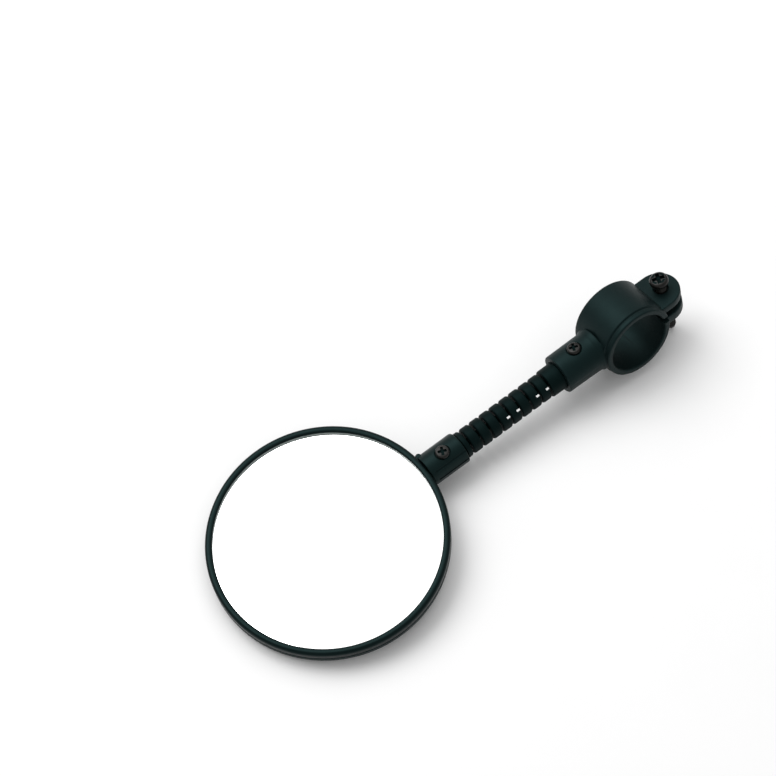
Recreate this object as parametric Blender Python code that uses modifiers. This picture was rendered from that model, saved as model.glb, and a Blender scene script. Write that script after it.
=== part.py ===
"""Round handlebar mirror: a glass in a plastic head, a ribbed bendable neck and a split-ring bar clamp.

Frame: the origin is the centre of the clamp's bore. +X runs from the mirror head towards the clamp's
ears and +Z is up, on the mirror side. The mirror lies on its back on the level plane that touches the
bottom of the clamp ring and the far edge of the head. Lengths are in metres.
"""

from math import cos, pi, radians, sin, tau

import bmesh
import bpy
from mathutils import Matrix, Vector

MM = 0.001

# How the three sections stand to each other
REST_PITCH = radians(-4.65)     # whole mirror, about Y: the head end lies lower than the clamp
CLAMP_ROLL = radians(-13.0)     # clamp against the head, about the neck

# Head
HEAD_RADIUS = 40.0 * MM
BACK_RADIUS = 37.5 * MM         # flat of the back, inside its rounded edge
RIM_TOP = 4.8 * MM              # above the neck's axis
HEAD_THICKNESS = 7.0 * MM
SHELL_FLOOR = 1.8 * MM
SHELL_WALL = 1.6 * MM
BEZEL_HEIGHT = 2.9 * MM
BEZEL_LIP = 0.7 * MM
GLASS_OPENING = 37.6 * MM
GLASS_THICKNESS = 2.0 * MM
PAD_RADIUS = 34.0 * MM
PAD_THICKNESS = 1.6 * MM
LENS_RADIUS = 12.4 * MM
LENS_THICKNESS = 1.4 * MM
LENS_OFFSET = 16.4 * MM         # from the head's centre, away from the neck
BACKING_THICKNESS = 0.4 * MM
POCKET_DEPTH = 2.5 * MM
FIN_LENGTH = 16.0 * MM          # of the tapered fairing, inward from the rim
FIN_TIP_RADIUS = 1.5 * MM

# Neck: gaps between ribs are the places where it bends
FIRST_GAP = 33.9 * MM           # from the bore's centre
RIB_PITCH = 4.15 * MM
GAP_COUNT = 9
GAP_WIDTH = 0.9 * MM
LAST_GAP_TO_HEAD = 56.7 * MM
RIB_RADIUS = 4.72 * MM
RIB_ROUND = 0.55 * MM
COLLAR_RADIUS = 5.05 * MM
COLLAR_LENGTH = 5.4 * MM
SHOULDER_LENGTH = 1.85 * MM     # the last half rib, against the head's socket
WIRE_RADIUS = 1.2 * MM

# Sockets that hold the neck's two ends
HEAD_SOCKET_RADIUS = 5.5 * MM
CLAMP_SOCKET_RADIUS = 7.05 * MM
HEAD_PLUG_RADIUS = 3.9 * MM
CLAMP_PLUG_RADIUS = 4.6 * MM
PLUG_LENGTH = 10.0 * MM
HEAD_SCREW_AT = 7.2 * MM        # before the rim
CLAMP_SCREW_AT = 19.9 * MM      # from the bore's centre
SOCKET_EDGE = 0.5 * MM

# Clamp for a 22.2 mm handlebar
BORE_RADIUS = 11.2 * MM
RING_RADIUS = 13.6 * MM
RING_WIDTH = 18.0 * MM
RING_EDGE = 0.9 * MM
SLIT_TOP = 3.0 * MM             # above the bore's axis
SLIT_BOTTOM = 0.2 * MM
JAW_SPLIT_ANGLE = radians(216.0)
EAR_RADIUS = 7.6 * MM
EAR_CENTRE = 16.2 * MM
EAR_TOP = 5.9 * MM
EAR_BOTTOM = -3.4 * MM
EAR_OVERLAP = 0.9 * MM          # of each ear past the slit, before the slit cuts it flat
BOLT_AT = 18.0 * MM             # on the bore's level
BOLT_LEAN = radians(3.8)        # the screw's head leans towards the ring
BOLT_RADIUS = 1.95 * MM
BOLT_HEAD_RADIUS = 3.5 * MM
BOLT_HEAD_HEIGHT = 2.3 * MM
BOLT_HEAD_FOOT = 9.1 * MM       # underside of the head, while the clamp is loose
BOLT_LENGTH = 25.0 * MM
NUT_ACROSS_FLATS = 7.0 * MM
NUT_HEIGHT = 3.2 * MM
NUT_CLEARANCE = 0.4 * MM        # round the screw, for the nut's tilt as the jaw closes

# Self-tapping screws of the two sockets
TAPPING_HEAD_RADIUS = 2.4 * MM
TAPPING_HEAD_HEIGHT = 1.4 * MM
TAPPING_SHANK_RADIUS = 1.2 * MM
TAPPING_PROUD = 1.0 * MM        # head above the socket's skin

FIT = 0.3 * MM                  # clearance between neighbouring pieces
MERGE = 0.01 * MM
REACH = 60.0 * MM               # longer than any cut that goes right through

LAST_GAP = FIRST_GAP + (GAP_COUNT - 1) * RIB_PITCH
HEAD_CENTRE = LAST_GAP + LAST_GAP_TO_HEAD
CLAMP_SOCKET_END = FIRST_GAP - GAP_WIDTH / 2 - COLLAR_LENGTH
HEAD_SOCKET_END = LAST_GAP + GAP_WIDTH / 2 + SHOULDER_LENGTH + FIT
BACK_FACE = RIM_TOP - HEAD_THICKNESS
FLOOR_TOP = BACK_FACE + SHELL_FLOOR
WALL_TOP = RIM_TOP - BEZEL_HEIGHT - FIT
GLASS_TOP = RIM_TOP - BEZEL_LIP - FIT
GLASS_RADIUS = HEAD_RADIUS - SHELL_WALL - 2 * FIT
CAVITY_RADIUS = HEAD_RADIUS - SHELL_WALL
POCKET_RADIUS = LENS_RADIUS + 0.4 * MM
BOSS_RADIUS = POCKET_RADIUS + 1.4 * MM

TO_HEAD = (0, -pi / 2, 0)       # turns a part's own Z from the clamp towards the head
ALONG_BORE = (-pi / 2, 0, 0)
NO_TURN = (0, 0, 0)
BOLT_TURN = (0, -BOLT_LEAN, 0)


# ---------------------------------------------------------------- scene and materials

def clear_scene():
    for obj in list(bpy.data.objects):
        bpy.data.objects.remove(obj, do_unlink=True)


def new_collection(name):
    collection = bpy.data.collections.new(name)
    bpy.context.scene.collection.children.link(collection)
    return collection


def new_material(name, colour, roughness, metallic=0.0, transmission=0.0):
    material = bpy.data.materials.new(name)
    material.use_nodes = True
    shader = material.node_tree.nodes["Principled BSDF"]
    shader.inputs["Base Color"].default_value = (*colour, 1.0)
    shader.inputs["Roughness"].default_value = roughness
    shader.inputs["Metallic"].default_value = metallic
    shader.inputs["Transmission Weight"].default_value = transmission
    return material


def shell_plastic():
    return new_material("shell_plastic", (0.018, 0.022, 0.021), 0.42)


def bezel_plastic():
    return new_material("bezel_plastic", (0.016, 0.019, 0.019), 0.36)


def clamp_plastic():
    return new_material("clamp_plastic", (0.020, 0.023, 0.022), 0.46)


def neck_plastic():
    return new_material("neck_plastic", (0.014, 0.018, 0.018), 0.55)


def mirror_glass():
    return new_material("mirror_glass", (0.95, 0.96, 0.96), 0.02, metallic=1.0)


def clear_lens():
    return new_material("clear_lens", (0.93, 0.93, 0.93), 0.12, transmission=0.6)


def white_backing():
    return new_material("white_backing", (0.85, 0.85, 0.84), 0.5)


def foam():
    return new_material("foam", (0.75, 0.75, 0.72), 0.9)


def black_steel():
    return new_material("black_steel", (0.06, 0.06, 0.062), 0.32, metallic=0.9)


def bright_wire():
    return new_material("bright_wire", (0.60, 0.60, 0.61), 0.3, metallic=1.0)


# ---------------------------------------------------------------- shapes

def arc(centre_x, centre_y, radius, start, end, count):
    """Points of an arc in a plane, both ends included."""
    points = []
    for i in range(count + 1):
        angle = start + (end - start) * i / count
        points.append((centre_x + radius * cos(angle), centre_y + radius * sin(angle)))
    return points


def set_place(obj, parent, location, rotation):
    obj.parent = parent
    obj.location = location
    obj.rotation_euler = rotation
    return obj


def add_empty(name, collection, parent, location, rotation):
    empty = bpy.data.objects.new(name, None)
    empty.empty_display_size = 5 * MM
    collection.objects.link(empty)
    return set_place(empty, parent, location, rotation)


def smooth(mesh):
    mesh.shade_smooth()
    mesh.set_sharp_from_angle(angle=radians(35))


def turned(name, profile, steps=48, closed=False):
    """A turned piece: profile points (radius, height), running down the outer side."""
    bm = bmesh.new()
    corners = [bm.verts.new((radius, 0, height)) for radius, height in profile]
    pairs = list(zip(corners, corners[1:]))
    if closed:
        pairs.append((corners[-1], corners[0]))
    for start, end in pairs:
        bm.edges.new((start, end))
    mesh = bpy.data.meshes.new(name)
    bm.to_mesh(mesh)
    bm.free()
    obj = bpy.data.objects.new(name, mesh)
    screw = obj.modifiers.new("turn", "SCREW")
    screw.angle = tau
    screw.steps = steps
    screw.render_steps = steps
    screw.use_merge_vertices = True
    screw.merge_threshold = MERGE
    screw.use_smooth_shade = True
    return obj


def rod(name, radius, low, high, steps=48):
    """A plain round bar from one height to another on its own Z."""
    return turned(name, [(0, high), (radius, high), (radius, low), (0, low)], steps)


def prism(name, outline, thickness):
    """A flat outline in the XY plane, thickened equally both ways."""
    curve = bpy.data.curves.new(name, "CURVE")
    curve.dimensions = "2D"
    curve.fill_mode = "BOTH"
    curve.extrude = thickness / 2
    spline = curve.splines.new("POLY")
    spline.points.add(len(outline) - 1)
    for point, (x, y) in zip(spline.points, outline):
        point.co = (x, y, 0, 1)
    spline.use_cyclic_u = True
    source = bpy.data.objects.new(name, curve)
    bpy.context.scene.collection.objects.link(source)
    graph = bpy.context.evaluated_depsgraph_get()
    mesh = bpy.data.meshes.new_from_object(source.evaluated_get(graph))
    bm = bmesh.new()
    bm.from_mesh(mesh)
    bmesh.ops.remove_doubles(bm, verts=bm.verts, dist=MERGE)
    bmesh.ops.recalc_face_normals(bm, faces=bm.faces)
    bm.to_mesh(mesh)
    bm.free()
    bpy.data.objects.remove(source, do_unlink=True)
    return bpy.data.objects.new(name, mesh)


def box(name, size):
    bm = bmesh.new()
    bmesh.ops.create_cube(bm, size=1.0)
    bmesh.ops.scale(bm, vec=size, verts=bm.verts)
    mesh = bpy.data.meshes.new(name)
    bm.to_mesh(mesh)
    bm.free()
    return bpy.data.objects.new(name, mesh)


def cone(name, radius_low, radius_high, height, steps=32):
    """A cut cone standing on its own XY plane."""
    bm = bmesh.new()
    bmesh.ops.create_cone(
        bm, cap_ends=True, segments=steps, radius1=radius_low, radius2=radius_high, depth=height
    )
    bmesh.ops.translate(bm, vec=(0, 0, height / 2), verts=bm.verts)
    mesh = bpy.data.meshes.new(name)
    bm.to_mesh(mesh)
    bm.free()
    smooth(mesh)
    return bpy.data.objects.new(name, mesh)


def combine(obj, operation, other):
    boolean = obj.modifiers.new(other.name, "BOOLEAN")
    boolean.operation = operation
    boolean.solver = "EXACT"
    boolean.object = other


def round_edges(obj, width, segments=2):
    bevel = obj.modifiers.new("round", "BEVEL")
    bevel.width = width
    bevel.segments = segments
    bevel.limit_method = "ANGLE"
    bevel.angle_limit = radians(50)


# ---------------------------------------------------------------- the build

class Mirror:
    """Holds the collections and the empties that the sub-parts hang on."""

    def __init__(self):
        self.parts = new_collection("bike_mirror")
        self.tools = new_collection("cutters")
        self.body = add_empty("rest_frame", self.parts, None, (0, 0, 0), (0, REST_PITCH, 0))
        self.clamp = add_empty("clamp_frame", self.parts, self.body, (0, 0, 0), (CLAMP_ROLL, 0, 0))
        self.head = add_empty("head_joint", self.parts, self.body, (-LAST_GAP, 0, 0), NO_TURN)
        self.disc = add_empty("head_centre", self.parts, self.head, (-LAST_GAP_TO_HEAD, 0, 0), NO_TURN)

    def part(self, obj, material, parent, location=(0, 0, 0), rotation=NO_TURN):
        self.parts.objects.link(obj)
        obj.data.materials.append(material)
        return set_place(obj, parent, location, rotation)

    def tool(self, obj, parent, location=(0, 0, 0), rotation=NO_TURN):
        self.tools.objects.link(obj)
        obj.hide_render = True
        obj.display_type = "WIRE"
        return set_place(obj, parent, location, rotation)

    def cut(self, target, obj, location=(0, 0, 0), rotation=NO_TURN):
        combine(target, "DIFFERENCE", self.tool(obj, target.parent, location, rotation))

    def join(self, target, obj, location=(0, 0, 0), rotation=NO_TURN):
        combine(target, "UNION", self.tool(obj, target.parent, location, rotation))


# ---------------------------------------------------------------- screws

def driver_recess(mirror, screw, size, depth, top):
    """The cross recess in a screw's head."""
    for turn, label in ((0, "a"), (pi / 2, "b")):
        blade = box(f"{screw.name}_recess_{label}", (size, size * 0.28, depth * 2))
        lean = screw.rotation_euler.to_matrix()
        place = screw.location + lean @ Vector((0, 0, top))
        turned_by = lean @ Matrix.Rotation(turn + pi / 4, 3, "Z")
        mirror.cut(screw, blade, place, turned_by.to_euler())


def tapping_screw(mirror, name, parent, location, length):
    """Pan-head self-tapping screw; its own origin is the underside of the head."""
    crown = TAPPING_HEAD_HEIGHT
    profile = [(0, crown), (TAPPING_HEAD_RADIUS * 0.62, crown)]
    profile += arc(TAPPING_HEAD_RADIUS * 0.62, 0, TAPPING_HEAD_RADIUS * 0.38, pi / 2 * 0.8, pi / 8, 3)
    profile += [(TAPPING_HEAD_RADIUS, 0), (TAPPING_SHANK_RADIUS, 0)]
    profile += [(TAPPING_SHANK_RADIUS, -length * 0.75), (0, -length)]
    screw = turned(name, profile, 24)
    mirror.part(screw, black_steel(), parent, location)
    driver_recess(mirror, screw, TAPPING_HEAD_RADIUS * 1.25, 0.7 * MM, crown)
    return screw


# ---------------------------------------------------------------- head

def back_shell(mirror):
    edge = HEAD_RADIUS - BACK_RADIUS
    top = WALL_TOP + 1 * MM
    profile = [(0, top), (HEAD_RADIUS, top), (HEAD_RADIUS, BACK_FACE + edge * 0.55)]
    profile.append((HEAD_RADIUS - edge * 0.12, BACK_FACE + edge * 0.25))
    profile.append((HEAD_RADIUS - edge * 0.45, BACK_FACE + edge * 0.06))
    profile += [(BACK_RADIUS, BACK_FACE), (0, BACK_FACE)]
    shell = turned("back_shell", profile, 96)
    mirror.part(shell, shell_plastic(), mirror.disc)

    reach = HEAD_CENTRE - HEAD_SOCKET_END
    collar = [(0, reach), (HEAD_SOCKET_RADIUS - SOCKET_EDGE, reach)]
    collar += arc(HEAD_SOCKET_RADIUS - SOCKET_EDGE, reach - SOCKET_EDGE, SOCKET_EDGE, pi / 2 * 0.7, 0, 2)
    collar += [(HEAD_SOCKET_RADIUS, HEAD_RADIUS - 3 * MM), (0, HEAD_RADIUS - 3 * MM)]
    mirror.join(shell, turned("head_socket", collar, 40), (0, 0, 0), (0, pi / 2, 0))
    fin_drop = -BACK_FACE + 0.4 * MM - FIN_TIP_RADIUS * 0.2
    fin_start = HEAD_RADIUS - 2.5 * MM
    fin = cone("fin", HEAD_SOCKET_RADIUS - 0.05 * MM, FIN_TIP_RADIUS, FIN_LENGTH)
    slope = fin_drop / FIN_LENGTH
    mirror.join(shell, fin, (fin_start, 0, 0), (0, -pi / 2 - slope, 0))

    mirror.cut(shell, rod("cavity", CAVITY_RADIUS, FLOOR_TOP, REACH, 96))
    mirror.cut(shell, rod("bezel_room", HEAD_RADIUS + FIT, WALL_TOP, REACH, 96))
    boss_top = BACK_FACE + POCKET_DEPTH + 1.0 * MM
    boss = rod("reflector_boss", BOSS_RADIUS, FLOOR_TOP - 0.5 * MM, boss_top)
    mirror.join(shell, boss, (-LENS_OFFSET, 0, 0))
    pocket = rod("reflector_pocket", POCKET_RADIUS, BACK_FACE - 1 * MM, BACK_FACE + POCKET_DEPTH)
    mirror.cut(shell, pocket, (-LENS_OFFSET, 0, 0))

    bore_low = reach - PLUG_LENGTH - 2 * FIT
    bore = rod("head_plug_bore", HEAD_PLUG_RADIUS + FIT, bore_low, reach + 5 * MM, 40)
    mirror.cut(shell, bore, (0, 0, 0), (0, pi / 2, 0))
    at = HEAD_RADIUS + HEAD_SCREW_AT
    seat = HEAD_SOCKET_RADIUS + TAPPING_PROUD - TAPPING_HEAD_HEIGHT - FIT
    recess = rod("head_screw_recess", TAPPING_HEAD_RADIUS + FIT, seat, REACH, 24)
    mirror.cut(shell, recess, (at, 0, 0))
    mirror.cut(shell, rod("head_screw_hole", TAPPING_SHANK_RADIUS + FIT, 0, REACH, 24), (at, 0, 0))
    return shell


def bezel_ring(mirror):
    low = WALL_TOP + FIT
    wall = CAVITY_RADIUS + 0.1 * MM
    edge = 1.1 * MM
    profile = [(GLASS_OPENING, RIM_TOP - 0.25 * MM), (GLASS_OPENING + 0.3 * MM, RIM_TOP)]
    profile += arc(HEAD_RADIUS - edge, RIM_TOP - edge, edge, pi / 2, 0, 4)
    lip = RIM_TOP - BEZEL_LIP
    profile += [(HEAD_RADIUS, low), (wall, low), (wall, lip), (GLASS_OPENING, lip)]
    ring = turned("bezel_ring", profile, 96, closed=True)
    return mirror.part(ring, bezel_plastic(), mirror.disc)


def glass(mirror):
    low = GLASS_TOP - GLASS_THICKNESS
    chamfer = 0.3 * MM
    profile = [(0, GLASS_TOP), (GLASS_RADIUS - chamfer, GLASS_TOP), (GLASS_RADIUS, GLASS_TOP - chamfer)]
    profile += [(GLASS_RADIUS, low), (0, low)]
    return mirror.part(turned("mirror_glass", profile, 96), mirror_glass(), mirror.disc)


def adhesive_pad(mirror):
    high = GLASS_TOP - GLASS_THICKNESS - FIT
    pad = rod("adhesive_pad", PAD_RADIUS, high - PAD_THICKNESS, high, 64)
    mirror.part(pad, foam(), mirror.disc)
    hole = rod("pad_hole", BOSS_RADIUS + FIT, high - 2 * PAD_THICKNESS, high + PAD_THICKNESS)
    mirror.cut(pad, hole, (-LENS_OFFSET, 0, 0))
    return pad


def reflector(mirror):
    face = BACK_FACE + 0.1 * MM
    chamfer = 0.35 * MM
    profile = [(0, face + LENS_THICKNESS), (LENS_RADIUS, face + LENS_THICKNESS)]
    profile += [(LENS_RADIUS, face + chamfer), (LENS_RADIUS - chamfer, face), (0, face)]
    lens = turned("reflector_lens", profile, 48)
    mirror.part(lens, clear_lens(), mirror.disc, (-LENS_OFFSET, 0, 0))
    low = face + LENS_THICKNESS + FIT
    backing = rod("reflector_backing", LENS_RADIUS, low, low + BACKING_THICKNESS)
    mirror.part(backing, white_backing(), mirror.disc, (-LENS_OFFSET, 0, 0))
    return lens, backing


def head_socket_screw(mirror):
    seat = HEAD_SOCKET_RADIUS + TAPPING_PROUD - TAPPING_HEAD_HEIGHT
    at = (HEAD_RADIUS + HEAD_SCREW_AT, 0, seat)
    return tapping_screw(mirror, "head_socket_screw", mirror.disc, at, seat - WIRE_RADIUS - 2 * FIT)


# ---------------------------------------------------------------- neck

def rounded_rib(low, high, radius, inner):
    """Closed outline of a rib: rounded outer corners, a plain hole for the wire."""
    points = [(inner, high)]
    points += arc(radius - RIB_ROUND, high - RIB_ROUND, RIB_ROUND, pi / 2, 0, 3)
    points += arc(radius - RIB_ROUND, low + RIB_ROUND, RIB_ROUND, 0, -pi / 2, 3)
    points.append((inner, low))
    return points


def neck_ribs(mirror):
    """Each rib's origin is the middle of the gap on its clamp side, where it bends."""
    inner = WIRE_RADIUS + FIT
    low = GAP_WIDTH / 2
    high = RIB_PITCH - GAP_WIDTH / 2
    ribs = []
    for i in range(GAP_COUNT - 1):
        rib = turned(f"neck_rib_{i + 1}", rounded_rib(low, high, RIB_RADIUS, inner), 32, closed=True)
        at = (-(FIRST_GAP + i * RIB_PITCH), 0, 0)
        ribs.append(mirror.part(rib, neck_plastic(), mirror.body, at, TO_HEAD))
    return ribs


def neck_collar(mirror):
    """Collar and plug of the neck's clamp end, with the plug in the clamp's socket."""
    inner = WIRE_RADIUS + FIT
    low = CLAMP_SOCKET_END + FIT
    high = FIRST_GAP - GAP_WIDTH / 2
    plug_low = CLAMP_SOCKET_END - PLUG_LENGTH
    profile = [(inner, high)]
    profile += arc(COLLAR_RADIUS - RIB_ROUND, high - RIB_ROUND, RIB_ROUND, pi / 2, 0, 3)
    profile += [(COLLAR_RADIUS, low), (CLAMP_PLUG_RADIUS, low)]
    profile += [(CLAMP_PLUG_RADIUS, plug_low), (inner, plug_low)]
    collar = turned("neck_collar", profile, 40, closed=True)
    mirror.part(collar, neck_plastic(), mirror.clamp, (0, 0, 0), TO_HEAD)
    hole = rod("collar_screw_hole", TAPPING_SHANK_RADIUS + FIT, 0.5 * MM, REACH, 24)
    mirror.cut(collar, hole, (-CLAMP_SCREW_AT, 0, 0))
    return collar


def neck_end_plug(mirror):
    """Half rib and plug of the neck's head end, with the plug in the head's socket."""
    inner = WIRE_RADIUS + FIT
    low = GAP_WIDTH / 2
    high = low + SHOULDER_LENGTH
    plug_high = HEAD_SOCKET_END - LAST_GAP + PLUG_LENGTH
    profile = [(0, plug_high), (HEAD_PLUG_RADIUS, plug_high), (HEAD_PLUG_RADIUS, high), (RIB_RADIUS, high)]
    profile += arc(RIB_RADIUS - RIB_ROUND, low + RIB_ROUND, RIB_ROUND, 0, -pi / 2, 3)
    wire_end = plug_high - 1.0 * MM
    profile += [(inner, low), (inner, wire_end), (0, wire_end)]
    plug = turned("neck_end_plug", profile, 40)
    mirror.part(plug, neck_plastic(), mirror.head, (0, 0, 0), TO_HEAD)
    at = -LAST_GAP_TO_HEAD + HEAD_RADIUS + HEAD_SCREW_AT
    hole = rod("plug_screw_hole", TAPPING_SHANK_RADIUS + FIT, 0.5 * MM, REACH, 24)
    mirror.cut(plug, hole, (at, 0, 0))
    return plug


def core_wire(mirror):
    start = CLAMP_SOCKET_END - PLUG_LENGTH + 1 * MM
    end = HEAD_SOCKET_END + PLUG_LENGTH - 1.0 * MM - FIT
    wire = rod("core_wire", WIRE_RADIUS, start, end, 16)
    return mirror.part(wire, bright_wire(), mirror.body, (0, 0, 0), TO_HEAD)


# ---------------------------------------------------------------- clamp

def ring_profile():
    half = RING_WIDTH / 2
    outer = arc(RING_RADIUS - RING_EDGE, half - RING_EDGE, RING_EDGE, pi / 2, 0, 3)
    outer += arc(RING_RADIUS - RING_EDGE, RING_EDGE - half, RING_EDGE, 0, -pi / 2, 3)
    return [(BORE_RADIUS, half)] + outer + [(BORE_RADIUS, -half)]


def ear_outline():
    root = RING_RADIUS * 0.7
    points = arc(EAR_CENTRE, 0, EAR_RADIUS, -pi / 2, pi / 2, 20)
    return points + [(root, EAR_RADIUS), (root, -EAR_RADIUS)]


def jaw_region(name, slit_height, shift):
    """The lower half of the ring, seen along the bore: below the slit, past the split line."""
    far = REACH
    line_x = far * cos(JAW_SPLIT_ANGLE)
    line_z = far * sin(JAW_SPLIT_ANGLE)
    along = (-sin(JAW_SPLIT_ANGLE) * shift, cos(JAW_SPLIT_ANGLE) * shift)
    start_x = BORE_RADIUS * 0.3
    outline = [(start_x, slit_height), (far, slit_height), (far, -far), (line_x, -far)]
    outline += [(line_x + along[0], line_z + along[1]), (along[0], along[1] + min(slit_height, 0))]
    return prism(name, outline, RING_WIDTH * 2)


def add_jaw_region(mirror, target, operation, name, slit_height, shift):
    region = jaw_region(name, slit_height, shift)
    mirror.tool(region, target.parent, (0, 0, 0), (pi / 2, 0, 0))
    combine(target, operation, region)


def add_ear(mirror, target, name, low, high):
    ear = prism(name, ear_outline(), high - low)
    round_edges(ear, 0.6 * MM)
    mirror.join(target, ear, (0, 0, (low + high) / 2))


def clamp_body(mirror):
    body = turned("clamp_body", ring_profile(), 72, closed=True)
    mirror.part(body, clamp_plastic(), mirror.clamp, (0, 0, 0), ALONG_BORE)
    socket_start = BORE_RADIUS + 0.8 * MM
    edge = SOCKET_EDGE
    socket = [(0, CLAMP_SOCKET_END), (CLAMP_SOCKET_RADIUS - edge, CLAMP_SOCKET_END)]
    socket += arc(CLAMP_SOCKET_RADIUS - edge, CLAMP_SOCKET_END - edge, edge, pi / 2 * 0.7, 0, 3)
    socket += [(CLAMP_SOCKET_RADIUS, socket_start), (0, socket_start)]
    mirror.join(body, turned("clamp_socket", socket, 40), (0, 0, 0), TO_HEAD)
    add_ear(mirror, body, "upper_ear", SLIT_TOP - EAR_OVERLAP, EAR_TOP)
    mirror.cut(body, rod("bore_clear_upper", BORE_RADIUS, -REACH, REACH, 72), (0, 0, 0), ALONG_BORE)
    add_jaw_region(mirror, body, "DIFFERENCE", "upper_split", SLIT_TOP, 0.0)
    bore_low = CLAMP_SOCKET_END - PLUG_LENGTH - FIT
    plug_bore = rod("clamp_plug_bore", CLAMP_PLUG_RADIUS + FIT, bore_low, REACH, 40)
    mirror.cut(body, plug_bore, (0, 0, 0), TO_HEAD)
    seat = CLAMP_SOCKET_RADIUS + TAPPING_PROUD - TAPPING_HEAD_HEIGHT - FIT
    at = (-CLAMP_SCREW_AT, 0, 0)
    mirror.cut(body, rod("clamp_screw_recess", TAPPING_HEAD_RADIUS + FIT, seat, REACH, 24), at)
    mirror.cut(body, rod("clamp_screw_hole", TAPPING_SHANK_RADIUS + FIT, 0, REACH, 24), at)
    hole = rod("upper_bolt_hole", BOLT_RADIUS + FIT, -REACH, REACH, 24)
    mirror.cut(body, hole, (BOLT_AT, 0, 0), BOLT_TURN)
    return body


def clamp_lower_jaw(mirror):
    jaw = turned("clamp_lower_jaw", ring_profile(), 72, closed=True)
    mirror.part(jaw, clamp_plastic(), mirror.clamp, (0, 0, 0), ALONG_BORE)
    add_ear(mirror, jaw, "lower_ear", EAR_BOTTOM, SLIT_BOTTOM + EAR_OVERLAP)
    mirror.cut(jaw, rod("bore_clear_lower", BORE_RADIUS, -REACH, REACH, 72), (0, 0, 0), ALONG_BORE)
    add_jaw_region(mirror, jaw, "INTERSECT", "lower_split", SLIT_BOTTOM, FIT)
    hole = rod("lower_bolt_hole", BOLT_RADIUS + 2 * FIT, -REACH, REACH, 24)
    mirror.cut(jaw, hole, (BOLT_AT, 0, 0), BOLT_TURN)
    return jaw


def hexagon(name, apothem, low, high):
    radius = apothem / cos(pi / 6)
    obj = cone(name, radius, radius, high - low, 6)
    for vertex in obj.data.vertices:
        vertex.co.z += low
    return obj


def clamp_nut(mirror):
    high = EAR_BOTTOM - 2 * FIT
    nut = hexagon("clamp_nut", NUT_ACROSS_FLATS / 2, high - NUT_HEIGHT, high)
    mirror.part(nut, black_steel(), mirror.clamp, (BOLT_AT, 0, 0), BOLT_TURN)
    thread = rod("nut_thread", BOLT_RADIUS + NUT_CLEARANCE, -REACH, REACH, 24)
    mirror.cut(nut, thread, (BOLT_AT, 0, 0), BOLT_TURN)
    return nut


def clamp_screw(mirror):
    crown = BOLT_HEAD_HEIGHT
    profile = [(0, crown), (BOLT_HEAD_RADIUS * 0.55, crown)]
    profile += arc(BOLT_HEAD_RADIUS * 0.55, crown * 0.3, BOLT_HEAD_RADIUS * 0.45, pi / 2 * 0.85, 0, 4)
    profile += [(BOLT_HEAD_RADIUS, 0), (BOLT_RADIUS, 0), (BOLT_RADIUS, 0.5 * MM - BOLT_LENGTH)]
    profile += [(BOLT_RADIUS - 0.5 * MM, -BOLT_LENGTH), (0, -BOLT_LENGTH)]
    screw = turned("clamp_screw", profile, 32)
    foot = (BOLT_AT - sin(BOLT_LEAN) * BOLT_HEAD_FOOT, 0, cos(BOLT_LEAN) * BOLT_HEAD_FOOT)
    mirror.part(screw, black_steel(), mirror.clamp, foot, BOLT_TURN)
    driver_recess(mirror, screw, BOLT_HEAD_RADIUS * 1.2, 1.2 * MM, crown)
    return screw


def clamp_socket_screw(mirror):
    seat = CLAMP_SOCKET_RADIUS + TAPPING_PROUD - TAPPING_HEAD_HEIGHT
    at = (-CLAMP_SCREW_AT, 0, seat)
    return tapping_screw(mirror, "clamp_socket_screw", mirror.clamp, at, seat - WIRE_RADIUS - 2 * FIT)


def build():
    clear_scene()
    mirror = Mirror()
    for make in (back_shell, bezel_ring, glass, adhesive_pad, reflector, head_socket_screw):
        make(mirror)
    for make in (neck_end_plug, neck_ribs, neck_collar, core_wire):
        make(mirror)
    for make in (clamp_body, clamp_lower_jaw, clamp_nut, clamp_screw, clamp_socket_screw):
        make(mirror)


build()
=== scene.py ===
from math import cos, pi, radians, sin, sqrt, tau

import bmesh
import bpy
from mathutils import Matrix, Quaternion, Vector


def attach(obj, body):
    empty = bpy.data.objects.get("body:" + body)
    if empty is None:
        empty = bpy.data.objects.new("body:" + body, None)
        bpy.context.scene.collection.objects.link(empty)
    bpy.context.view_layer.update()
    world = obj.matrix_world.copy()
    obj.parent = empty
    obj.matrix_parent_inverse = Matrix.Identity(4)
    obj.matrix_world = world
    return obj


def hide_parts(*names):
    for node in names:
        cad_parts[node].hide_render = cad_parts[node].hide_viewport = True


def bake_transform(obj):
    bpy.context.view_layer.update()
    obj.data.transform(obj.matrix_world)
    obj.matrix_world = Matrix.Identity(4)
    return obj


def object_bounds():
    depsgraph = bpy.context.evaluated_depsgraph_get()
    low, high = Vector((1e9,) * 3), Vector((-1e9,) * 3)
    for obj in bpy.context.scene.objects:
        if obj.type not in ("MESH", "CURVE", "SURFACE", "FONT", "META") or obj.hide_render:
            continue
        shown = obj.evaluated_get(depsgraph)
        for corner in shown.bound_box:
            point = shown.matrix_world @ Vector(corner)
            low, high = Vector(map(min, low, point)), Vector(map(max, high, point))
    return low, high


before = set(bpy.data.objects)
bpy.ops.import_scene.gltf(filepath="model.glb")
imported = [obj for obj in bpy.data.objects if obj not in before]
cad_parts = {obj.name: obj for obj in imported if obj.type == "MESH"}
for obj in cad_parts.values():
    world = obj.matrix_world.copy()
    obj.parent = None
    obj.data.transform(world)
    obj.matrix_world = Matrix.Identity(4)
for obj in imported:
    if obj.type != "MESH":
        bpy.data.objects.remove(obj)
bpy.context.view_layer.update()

MM = 0.001

# The CAD's own dimensions, in millimetres unless an angle
REST_PITCH = radians(-4.65)
CLAMP_ROLL = radians(-13.0)

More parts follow.
